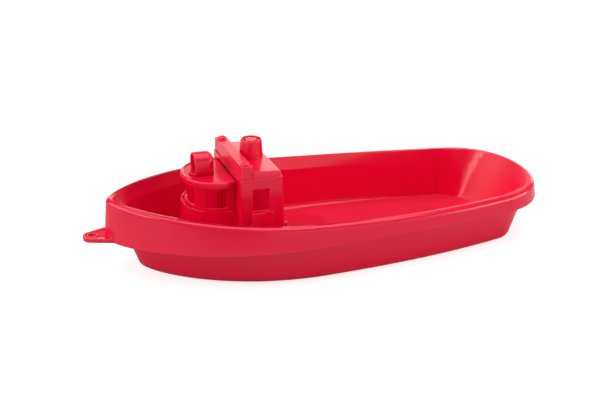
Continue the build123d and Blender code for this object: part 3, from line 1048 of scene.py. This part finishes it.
@dataclass
class Deckhouse:
    """Drafted box with side windows, half doors, ribs and a roof with a raised slab."""

    finish: bpy.types.Material
    lining: bpy.types.Material
    draft_side: float = 2.2
    draft_aft: float = 3.3
    corner: float = 2.2
    wall: float = 3.0
    lip: float = 1.0
    plate: float = 2.6
    window_aft: float = 12.5
    window_width: float = 14.3
    window_low: float = 57.2
    window_high: float = 76.3
    doorway_half: float = 22.0
    doorway_top: float = 74.0
    rib_height: float = 38.5
    rib_width: float = 2.4
    rib_depth: float = 2.6
    door_aft: float = 8.2
    door_width: float = 20.5
    door_top: float = 55.5
    door_proud: float = 2.0
    latch: Spot = (3.4, 5.0, 1.5)
    slab_inset: float = 0.8
    slab_taper: float = 1.2
    slab_heights: Point = (6.3, 4.7)
    slab_sunk: float = 0.5
    least_corner: float = 0.5
    front_points: int = 2  # of a row, from the front wall's middle to its corner
    corner_steps: int = 6
    rib_inset: float = 1.0
    rib_lean: float = 1.0
    rib_bite: float = 1.5
    door_sunk: float = 0.8

    def __post_init__(self) -> None:
        """Takes the cabin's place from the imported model."""
        low, high = node_box("deckhouse_walls")
        self.front, self.top, self.foot = high.x, high.z, low.z
        roof_low, roof_high = node_box("deckhouse_roof")
        self.aft = roof_low.x - self.lip - GAP
        self.half = roof_high.y + self.lip + GAP
        self.slab_front = node_box("light_bar")[0].x - GAP

    def build(self) -> None:
        """Builds every piece of the deckhouse."""
        self.build_walls()
        for side in Side:
            self.build_half_door(side)
        self.build_roof()

    def drop(self, height: float) -> float:
        """How far down the draft a height is, from nought at the top to one at the foot."""
        return (self.top - height) / (self.top - self.foot)

    def row(self, height: float, inset: float) -> Ring:
        """The box's plan at a height, with points at each window's and the doorway's edges.

        Args:
            height: The row's height.
            inset: How far the plan is drawn in.

        Returns:
            The row's points, from the front's middle by port aft and back.
        """
        aft = self.aft - self.draft_aft * self.drop(height) + inset
        half = self.half + self.draft_side * self.drop(height) - inset
        front = self.front - inset
        radius = max(self.least_corner, self.corner - inset)
        turn = [(radius * math.cos(a), radius * math.sin(a)) for a in arc(0, 90, self.corner_steps)]
        port = [(front, 0.0), (front, self.doorway_half)]
        port += [(front - radius + x, half - radius + y) for x, y in turn]
        start = self.aft + self.window_aft
        port += [(start + self.window_width, half), (start, half)]
        port += [(aft + radius - y, half - radius + x) for x, y in turn]
        port += [(aft, 0.0)]
        starboard = [(x, -y) for x, y in reversed(port[1:-1])]
        return lifted(port + starboard, height)

    def build_walls(self) -> None:
        """Builds the four walls and the two ribs on the aft wall."""
        seat = self.top - self.plate
        heights = [self.foot, self.window_low, self.doorway_top, self.window_high, seat, self.top]
        outer, inner = ([self.row(z, inset) for z in heights] for inset in (0.0, self.wall))
        count = len(outer[0])
        window = self.front_points + self.corner_steps + 1
        windows = (window, count - window - 1)

        def is_open(row: int, column: int) -> bool:
            """Windows in the sides and the doorway in front, which reaches down to the foot."""
            if column in (0, count - 1):
                return heights[row] < self.doorway_top
            return column in windows and self.window_low <= heights[row] < self.window_high

        form = Form("deckhouse_shell")
        form.wall(outer, inner, is_open, closed=True)
        for sign in (1, -1):
            middle = sign * (self.half - self.rib_inset - self.rib_width / 2)
            aft = self.aft - self.draft_aft - self.rib_depth + self.rib_lean
            front, half = aft + self.rib_depth + self.rib_bite, self.rib_width / 2
            high = (front, middle + half, self.foot + self.rib_height)
            form.block((aft, middle - half, self.foot), high)
        form.piece(self.finish, ["deckhouse_walls"], lining=self.lining)

    def build_half_door(self, side: Side) -> None:
        """Builds a raised half door with its latch.

        Args:
            side: Which side it is on.
        """
        start = self.aft + self.door_aft
        step, wide, tall = self.latch
        end, top = start + self.door_width, self.door_top
        latch = (start + step, start + step + wide)
        outline = [(start, self.foot), (end, self.foot), (end, top), (latch[1], top)]
        outline += [(latch[1], top + tall), (latch[0], top + tall), (latch[0], top), (start, top)]
        form = Form(f"half_door_{side.name.lower()}")
        rings = []
        for proud in (-self.door_sunk, self.door_proud):
            points = []
            for x, z in outline:
                y = self.half + self.draft_side * self.drop(z) + proud
                points.append(Vector((x, side.value * y, z)))
            rings.append(points)
        form.loft(rings)
        form.piece(self.finish, [f"{side.name.lower()}_half_door"])

    def build_roof(self) -> None:
        """Builds the roof plate and the raised slab on it."""
        seat = self.top - self.plate
        plate = Form("deckhouse_roof_plate")
        plate.loft([self.row(z, self.wall) for z in (seat, self.top)])
        plate.piece(self.finish, [], edge=None)
        form = Form("deckhouse_roof_slab")
        front, aft = self.slab_front, self.aft + self.slab_inset
        half = self.half - self.slab_inset
        taper = self.slab_taper
        high, low = self.slab_heights
        foot = lifted([(front, half), (aft, half), (aft, -half), (front, -half)], self.top - self.slab_sunk)
        half -= taper
        aft += taper
        crown = [(front, half, high), (aft, half, low), (aft, -half, low), (front, -half, high)]
        form.loft([foot, [Vector((x, y, self.top + z)) for x, y, z in crown]])
        form.piece(self.finish, ["deckhouse_roof"], edge=Edge.ROUND)

    def slab_height(self, x: float) -> float:
        """Height of the slab's sloping top."""
        high, low = self.slab_heights
        return self.top + low + (high - low) * (x - self.aft) / (self.slab_front - self.aft)


@dataclass
class RoofGear:
    """Light bar with two pins, and the funnel with its ribbed cap."""

    finish: bpy.types.Material
    deckhouse: Deckhouse
    sink: float = 1.0
    pin_inset: float = 5.8
    pin_radius: float = 4.0
    pin_lip: float = 0.5
    dimple_radius: float = 1.5
    dimple_depth: float = 2.2
    dimple_taper: float = 0.8
    dimple_lip: float = 0.4
    funnel_aft: float = 15.5
    funnel_hem: float = 1.5
    funnel_foot: float = 10.4
    funnel_mouth: float = 9.3
    funnel_wall: float = 1.6
    cap_depth: float = 3.2
    cap_plate: float = 1.4
    hub: float = 5.2
    dish: float = 2.08
    ribs: int = 6
    rib_width: float = 1.4
    rib_bite: float = 0.6
    rib_sunk: float = 0.3
    softening: float = 0.5

    def build(self) -> None:
        """Builds the bar, the pins, the funnel and its cap."""
        self.build_bar()
        self.build_pins()
        self.build_funnel()
        self.build_cap()

    def build_bar(self) -> None:
        """Builds the bar."""
        low, high = node_box("light_bar")
        form = Form("light_bar_body")
        form.block((low.x, low.y, low.z - self.sink), tuple(high))
        form.piece(self.finish, ["light_bar"], edge=Edge.SOFT)

    def build_pins(self) -> None:
        """Builds the two round heads with a dimple."""
        low, high = node_box("light_bar")
        crown = node_box("bar_pins")[1].z
        flat = self.dimple_radius + self.pin_lip
        rise, spread = crown - high.z, self.pin_radius - flat
        bottom = crown - self.dimple_depth
        profile: Plan = [(self.pin_radius, high.z - self.sink)]
        profile += [(flat + spread * math.cos(a), high.z + rise * math.sin(a)) for a in arc(0, 90, 8)]
        profile += [(self.dimple_radius, crown - self.dimple_lip)]
        profile += [(self.dimple_radius * self.dimple_taper, bottom), (0, bottom)]
        form = Form("bar_pin_heads")
        for sign in (1, -1):
            spot = ((low.x + high.x) / 2, sign * (high.y - self.pin_inset))
            form.lathe(profile, spot, turns=40)
        form.piece(self.finish, ["bar_pins"], edge=None)

    def funnel_x(self) -> float:
        """Where the funnel's axis stands."""
        return self.deckhouse.aft + self.funnel_aft

    def build_funnel(self) -> None:
        """Builds the tapered tube down to the sloping roof."""
        top = node_box("funnel")[1].z
        shelf = top - self.cap_depth
        mouth, bore = self.funnel_mouth, self.funnel_mouth - self.funnel_wall
        soft = self.funnel_wall / 2
        hem: Plan = [(self.funnel_foot, 0.0), (self.funnel_foot - GAP, self.funnel_hem)]
        tube: Plan = [(mouth + GAP, top - self.funnel_wall)]
        for angle in arc(0, 180, 8):
            tube.append((mouth - soft + soft * math.cos(angle), top - soft + soft * math.sin(angle)))
        tube += [(bore, shelf)]
        form = Form("funnel_tube")
        rings = []
        for radius, height in hem + tube:
            points = []
            for angle in full_turn():
                x = self.funnel_x() + radius * math.cos(angle)
                z = self.deckhouse.slab_height(x) + height - GAP if height <= self.funnel_hem else height
                points.append(Vector((x, radius * math.sin(angle), z)))
            rings.append(points)
        form.skin([form.ring(points) for points in rings])
        form.piece(self.finish, ["funnel"], edge=None)

    def build_cap(self) -> None:
        """Builds the disc with its hub and radial ribs."""
        top = node_box("funnel")[1].z
        shelf = top - self.cap_depth
        crown = node_box("funnel_cap")[1].z
        rim = self.funnel_mouth - self.funnel_wall - GAP
        plate, sunk = shelf + self.cap_plate, self.rib_sunk
        hub, soft = self.hub, self.softening
        form = Form("funnel_cap_disc")
        profile: Plan = [(rim, shelf), (rim, plate), (hub + sunk, plate), (hub, plate + sunk)]
        profile += [(hub, crown - soft), (hub - soft, crown), (self.dish, crown), (0, crown - 2 * GAP)]
        form.lathe(profile, (self.funnel_x(), 0.0), turns=60)
        for number in range(self.ribs):
            turn = math.tau * (number + 0.5) / self.ribs
            along = Vector((math.cos(turn), math.sin(turn), 0))
            across = Vector((-along.y, along.x, 0)) * self.rib_width / 2
            middle = Vector((self.funnel_x(), 0, 0))
            near, far = middle + along * (hub - self.rib_bite), middle + along * (rim + GAP)
            plan = [(p.x, p.y) for p in (near - across, far - across, far + across, near + across)]
            form.loft([lifted(plan, z) for z in (plate - sunk, crown - self.dimple_lip)])
        form.piece(self.finish, ["funnel_cap"], edge=Edge.CRISP)


@dataclass
class Wheelhouse:
    """Half-round parapet, window band and roof ahead of the deckhouse, with a searchlight hood."""

    finish: bpy.types.Material
    lining: bpy.types.Material
    straight: float = 9.0
    parapet_draft: float = 3.0
    brim: float = 0.35  # thickness of the parapet above its ledge
    wall: float = 2.0
    pane_low: float = 57.4
    pane_high: float = 74.4
    front_pane: float = 30.0
    side_pane: Point = (55.0, 92.5)  # degrees from the bow, like the front pane's half angle
    visor_slope: float = 1.0
    roof_plate: float = 2.2
    roof_round: float = 1.6
    bead_width: float = 2.6
    bead_drop: float = 0.9
    bead_slope: float = 0.5
    visor_edge: float = 0.4
    inner_back: float = 1.6
    roof_sunk: float = 0.2
    hood_width: float = 18.5
    hood_wall: float = 1.8
    hood_round: float = 5.5
    hood_lip: float = 3.4
    lip_height: float = 0.8
    lip_round: float = 0.4

    def __post_init__(self) -> None:
        """Takes the wheelhouse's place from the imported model."""
        self.front = node_box("deckhouse_walls")[1].x
        self.round_x = self.front + self.straight
        self.radius = node_box("wheelhouse_roof")[1].y
        self.frame_radius = node_box("window_frame")[1].y
        self.foot, self.sill = node_box("parapet")[0].z, node_box("parapet")[1].z
        self.ledge = node_box("window_frame")[0].z
        self.visor, self.top = node_box("wheelhouse_roof")[0].z, node_box("wheelhouse_roof")[1].z

    def build(self) -> None:
        """Builds every piece of the wheelhouse."""
        self.build_parapet()
        self.build_frame()
        self.build_roof()
        self.build_hood()

    def bow_path(self, radius: float, angles: Sequence[float]) -> Plan:
        """An open path round the bow side, from port to starboard.

        Args:
            radius: Its radius.
            angles: Where it has points, in degrees from the bow, on the port side. Above 90 they
                lie on the straight side.

        Returns:
            The path's points.
        """
        port = []
        for angle in angles:
            turn = math.radians(angle)
            if angle > 90:
                port.append((self.round_x - radius * math.tan(turn - math.pi / 2), radius))
            else:
                port.append((self.round_x + radius * math.cos(turn), radius * math.sin(turn)))
        port = [(self.front + GAP, radius)] + port
        return port + [(x, -y) for x, y in reversed(port) if y > TINY]

    def build_parapet(self) -> None:
        """Builds the lower wall with the ledge under the windows."""
        angles = quarter(30)
        under = self.ledge - self.wall
        lean = self.parapet_draft / (self.sill - self.foot)

        def row(height: float, inset: float) -> Ring:
            """The wall's plan at a height."""
            radius = self.radius + lean * (self.sill - height) - inset
            return lifted(self.bow_path(radius, angles), height)

        inside = self.radius - self.frame_radius + self.wall
        outer = [row(self.foot, 0.0), row(under, 0.0), None]
        outer += [row(self.ledge, 0.0), None, row(self.sill, 0.0)]
        steps = [(self.foot, self.wall), (under, self.wall), (under, inside), (self.ledge, inside)]
        steps += [(self.ledge, self.brim), (self.sill, self.brim)]
        inner = [row(height, inset) for height, inset in steps]
        form = Form("parapet_wall")
        form.wall(outer, inner, lambda row, column: False, closed=False)
        form.piece(self.finish, ["parapet"], edge=Edge.SOFT, lining=self.lining)

    def build_frame(self) -> None:
        """Builds the band with its front and side windows."""
        start, end = self.side_pane
        angles = [end] + quarter(36)
        path = self.bow_path(self.frame_radius, angles)
        marks = [180.0] + angles + [-a for a in reversed(angles[:-1])] + [-180.0]
        heights = [self.ledge, self.pane_low, self.pane_high, self.top - self.roof_plate]

        def is_open(row: int, column: int) -> bool:
            """Cells between a window's two edges."""
            if row != 1:
                return False
            middle = abs(marks[column] + marks[column + 1]) / 2
            return middle < self.front_pane or start < middle < end

        form = Form("window_band")
        outer = [lifted(path, z) for z in heights]
        inner = [lifted(self.bow_path(self.frame_radius - self.wall, angles), z) for z in heights]
        form.wall(outer, inner, is_open, closed=False)
        form.piece(self.finish, ["window_frame"], edge=Edge.SOFT, lining=self.lining)

    def roof_ring(self, radius: float, height: float, back: float) -> Ring:
        """A closed ring on the wheelhouse's plan.

        Args:
            radius: Its radius.
            height: Its height.
            back: How far its aft edge stands off the deckhouse.

        Returns:
            The ring's points.
        """
        path = self.bow_path(radius, quarter(36))
        path[0] = (self.front + back, radius)
        path[-1] = (self.front + back, -radius)
        return lifted(path, height)

    def build_roof(self) -> None:
        """Builds the roof with its visor below and a low bead round its edge."""
        inner, soft, edge = self.frame_radius + GAP, self.roof_round, self.visor_edge
        rings = [
            self.roof_ring(inner, self.top - self.roof_plate, self.inner_back),
            self.roof_ring(inner, self.visor + self.visor_slope, self.inner_back),
        ]
        section: Plan = [(self.radius - edge, self.visor), (self.radius, self.visor + edge)]
        for angle in arc(0, 90, 6):
            radius = self.radius - soft + soft * math.cos(angle)
            section.append((radius, self.top - soft + soft * math.sin(angle)))
        for share in (0.0, 0.5, 1.0):
            radius = self.radius - self.bead_width + self.bead_slope * (1 - 2 * share)
            section.append((radius, self.top - self.bead_drop * share))
        form = Form("wheelhouse_roof_shell")
        form.loft(rings + [self.roof_ring(radius, height, GAP) for radius, height in section])
        form.piece(self.finish, ["wheelhouse_roof"], edge=None)

    def arch(self, inset: float, x: float, floor: float) -> Ring:
        """The hood's section across the boat.

        Args:
            inset: How far its sides and crown are drawn in.
            x: Where the section stands.
            floor: The height of its straight bottom edge.

        Returns:
            The section's points, from the port foot over the crown.
        """
        crown = node_box("searchlight_hood")[1].z
        half = self.hood_width / 2 - inset
        spring = crown - self.hood_width / 2
        points = [(half, floor), (half, (floor + spring) / 2)]
        points += [(half * math.cos(a), spring + half * math.sin(a)) for a in arc(0, 180, 32)]
        points += [(-half, (floor + spring) / 2), (-half, floor)]
        return [Vector((x, y, z)) for y, z in points]

    def build_hood(self) -> None:
        """Builds the arched hood with its lip on the roof."""
        floor = self.top - self.bead_drop - self.roof_sunk
        back, front = (corner.x for corner in node_box("searchlight_hood"))
        front -= self.hood_lip
        soft, wall = self.hood_round, self.hood_wall
        rim = wall * CHAMFER
        section = [(soft * (1 - math.sin(a)), back + soft * (1 - math.cos(a))) for a in arc(0, 90, 8)]
        section += [(0.0, front - rim), (rim * CHAMFER, front - rim * CHAMFER), (rim, front)]
        section += [(wall - rim, front), (wall, front - rim), (wall, back + wall + soft / 2)]
        form = Form("searchlight_hood_shell")
        form.loft([self.arch(inset, x, floor) for inset, x in section])
        half = self.hood_width / 2
        centre = front + self.hood_lip - half
        spring = self.top + self.lip_height - self.lip_round
        bend = self.lip_round
        middle = (bend * CHAMFER, bend * (1 - CHAMFER))
        rings = []
        for shrink, rise in ((0.0, floor - spring), (0.0, 0.0), middle, (bend, bend)):
            radius, height = half - shrink, spring + rise
            lip = [(centre + radius * math.cos(a), radius * math.sin(a)) for a in arc(-90, 90, 36)]
            rings.append(lifted(lip, height))
        form.loft(rings)
        form.piece(self.finish, ["searchlight_hood"], edge=None)


@dataclass
class FloorPlates:
    """The thin plates on the floor, which keep their CAD shapes."""

    finish: bpy.types.Material

    def build(self) -> None:
        """Dresses the base plate and the hatch cover."""
        for name in ("base_plate", "hatch_cover"):
            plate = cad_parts[name]
            plate.data.materials.clear()
            plate.data.materials.append(self.finish)
            log.info("%s: CAD shape kept", name)


# Studio


@dataclass(frozen=True)
class SoftBox:
    """A soft light panel."""

    name: str
    centre: Spot
    size: Point
    radiance: float
    target: Spot = (0.0, 0.0, 0.05)
    colour: Spot = (1.0, 0.985, 0.9)

    def build(self) -> None:
        """Hangs the panel, facing its target."""
        lamp = bpy.data.lights.new(self.name, "AREA")
        lamp.color = self.colour
        lamp.shape = "RECTANGLE"
        lamp.size, lamp.size_y = self.size
        lamp.energy = self.radiance * math.pi * self.size[0] * self.size[1]
        panel = bpy.data.objects.new(self.name, lamp)
        bpy.context.scene.collection.objects.link(panel)
        panel.location = self.centre
        aim = Vector(self.target) - Vector(self.centre)
        panel.rotation_euler = aim.to_track_quat("-Z", "Y").to_euler()


@dataclass(frozen=True)
class Viewpoint:
    """The camera, off the port bow and looking down."""

    yaw: float = 23.0
    pitch: float = 23.57
    roll: float = 2.02
    target: Spot = (0.0045, 0.0, 0.040)
    distance: float = 0.88086
    lens: float = 57.29
    sensor: float = 36.0
    shift: Point = (-0.0436, -0.0011)

    def build(self) -> None:
        """Makes the camera and gives it to the scene."""
        yaw, pitch, roll = (math.radians(a) for a in (self.yaw, self.pitch, self.roll))
        back = Vector((math.sin(yaw) * math.cos(pitch), math.cos(yaw) * math.cos(pitch), math.sin(pitch)))
        right = Vector((-math.cos(yaw), math.sin(yaw), 0))
        up = back.cross(right)
        x_axis = right * math.cos(roll) + up * math.sin(roll)
        y_axis = up * math.cos(roll) - right * math.sin(roll)
        data = bpy.data.cameras.new("camera")
        data.sensor_width = self.sensor
        data.lens = self.lens
        data.shift_x, data.shift_y = self.shift
        camera = bpy.data.objects.new("camera", data)
        bpy.context.scene.collection.objects.link(camera)
        turn = Matrix((x_axis, y_axis, back)).transposed().to_4x4()
        camera.matrix_world = Matrix.Translation(Vector(self.target) + back * self.distance) @ turn
        bpy.context.scene.camera = camera


@dataclass
class Studio:
    """Pale floor, soft light and the camera."""

    floor_size: float = 14.0
    world: float = 0.24
    panels: tuple[SoftBox, ...] = (
        SoftBox("top_panel", (0.0, 0.0, 1.7), (2.2, 1.8), 2.0),
        SoftBox("back_panel", (-1.2, -2.6, 0.64), (4.0, 1.0), 2.2),
        SoftBox("bow_panel", (2.0, 0.0, 0.9), (2.2, 1.1), 3.8),
        SoftBox("stern_panel", (-2.0, 0.9, 0.6), (1.9, 1.1), 3.8),
        SoftBox("port_panel", (-1.0, 2.6, 0.5), (2.8, 1.0), 0.9),
    )

    def build(self) -> None:
        """Sets up the studio."""
        data = bpy.data.meshes.new("studio_floor")
        half = self.floor_size / 2
        corners = [(-half, -half, 0), (half, -half, 0), (half, half, 0), (-half, half, 0)]
        data.from_pydata(corners, [], [(0, 1, 2, 3)])
        data.materials.append(StudioPaper().material())
        ground = bpy.data.objects.new("studio_floor", data)
        bpy.context.scene.collection.objects.link(ground)
        for panel in self.panels:
            panel.build()
        world = bpy.data.worlds.new("studio_world")
        world.use_nodes = True
        sky = world.node_tree.nodes["Background"].inputs
        sky["Color"].default_value = (1, 1, 1, 1)
        sky["Strength"].default_value = self.world
        bpy.context.scene.world = world
        bpy.context.scene.view_settings.view_transform = "Standard"
        Viewpoint().build()


def main() -> None:
    """Builds the boat from the keel up, then the studio."""
    logging.basicConfig(level=logging.INFO, format="%(name)s: %(message)s")
    hull_plastic = MouldedPlastic("hull_plastic").material()
    satin_plastic = MouldedPlastic("satin_plastic", roughness=0.5).material()
    plate_plastic = MouldedPlastic("plate_plastic", roughness=0.28).material()
    cabin_plastic = MouldedPlastic("cabin_plastic", flow_scale=38.0, roughness=0.2).material()
    # The linings glow: painted light that brightens the shaded insides of the deckhouse and wheelhouse seen
    # through their windows.
    deckhouse_lining_painted_glow = MouldedPlastic("deckhouse_lining_painted_glow", roughness=0.5, glow=0.12).material()
    wheelhouse_lining_painted_glow = MouldedPlastic("wheelhouse_lining_painted_glow", roughness=0.5, glow=0.22).material()
    Hull(hull_plastic, satin_plastic).build()
    FloorPlates(plate_plastic).build()
    deckhouse = Deckhouse(cabin_plastic, deckhouse_lining_painted_glow)
    deckhouse.build()
    RoofGear(cabin_plastic, deckhouse).build()
    Wheelhouse(cabin_plastic, wheelhouse_lining_painted_glow).build()
    Studio().build()


if __name__ == "__main__":
    main()
